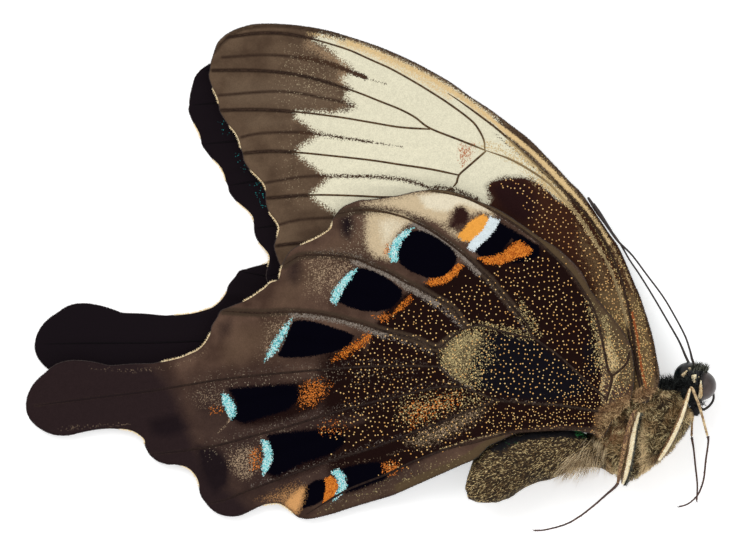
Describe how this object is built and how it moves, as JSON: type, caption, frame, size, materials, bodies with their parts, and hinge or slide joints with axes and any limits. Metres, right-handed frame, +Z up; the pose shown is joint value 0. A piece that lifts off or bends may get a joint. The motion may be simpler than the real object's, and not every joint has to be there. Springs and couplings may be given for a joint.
{
  "type": "swallowtail butterfly specimen",
  "caption": "Life-size dried swallowtail butterfly lying on its side with closed wings, undersides showing, with body, eyes, antennae and legs.",
  "frame": {"origin": "on the floor, under the middle of the specimen's outline", "axes": "+X runs from the hindwing tails to the head, +Y towards the forewings' front edge, +Z up from the floor, from the left wings to the right wings"},
  "size_m": [0.0648, 0.0478, 0.0094],
  "materials": {
    "forewing": "scaly wing, brown with a cream field",
    "hindwing": "scaly wing, dark brown with gold dusting, blue crescents and orange spots",
    "thorax_wool": "short olive wool",
    "abdomen_scales": "dark scales with short gold streaks",
    "black_hair": "short black hair",
    "pale_eye": "soft gloss, finely faceted",
    "dark_eye": "gloss, finely faceted",
    "dark_horn": "satin dark brown",
    "leg": "satin brown with cream scales on the thighs"
  },
  "bodies": {
    "root": {"wing_fore_right": "forewing", "wing_fore_left": "forewing", "wing_hind_right": "hindwing", "wing_hind_left": "hindwing", "thorax": "thorax_wool", "abdomen": "abdomen_scales", "head": "black_hair", "palp_right": "black_hair", "palp_left": "black_hair", "eye_right": "pale_eye", "eye_left": "dark_eye", "proboscis": "dark_horn", "antenna_right": "dark_horn", "antenna_left": "dark_horn", "leg_fore_right": "leg", "leg_fore_left": "leg", "leg_mid_right": "leg", "leg_mid_left": "leg", "leg_hind_right": "leg", "leg_hind_left": "leg"}
  },
  "joints": []
}
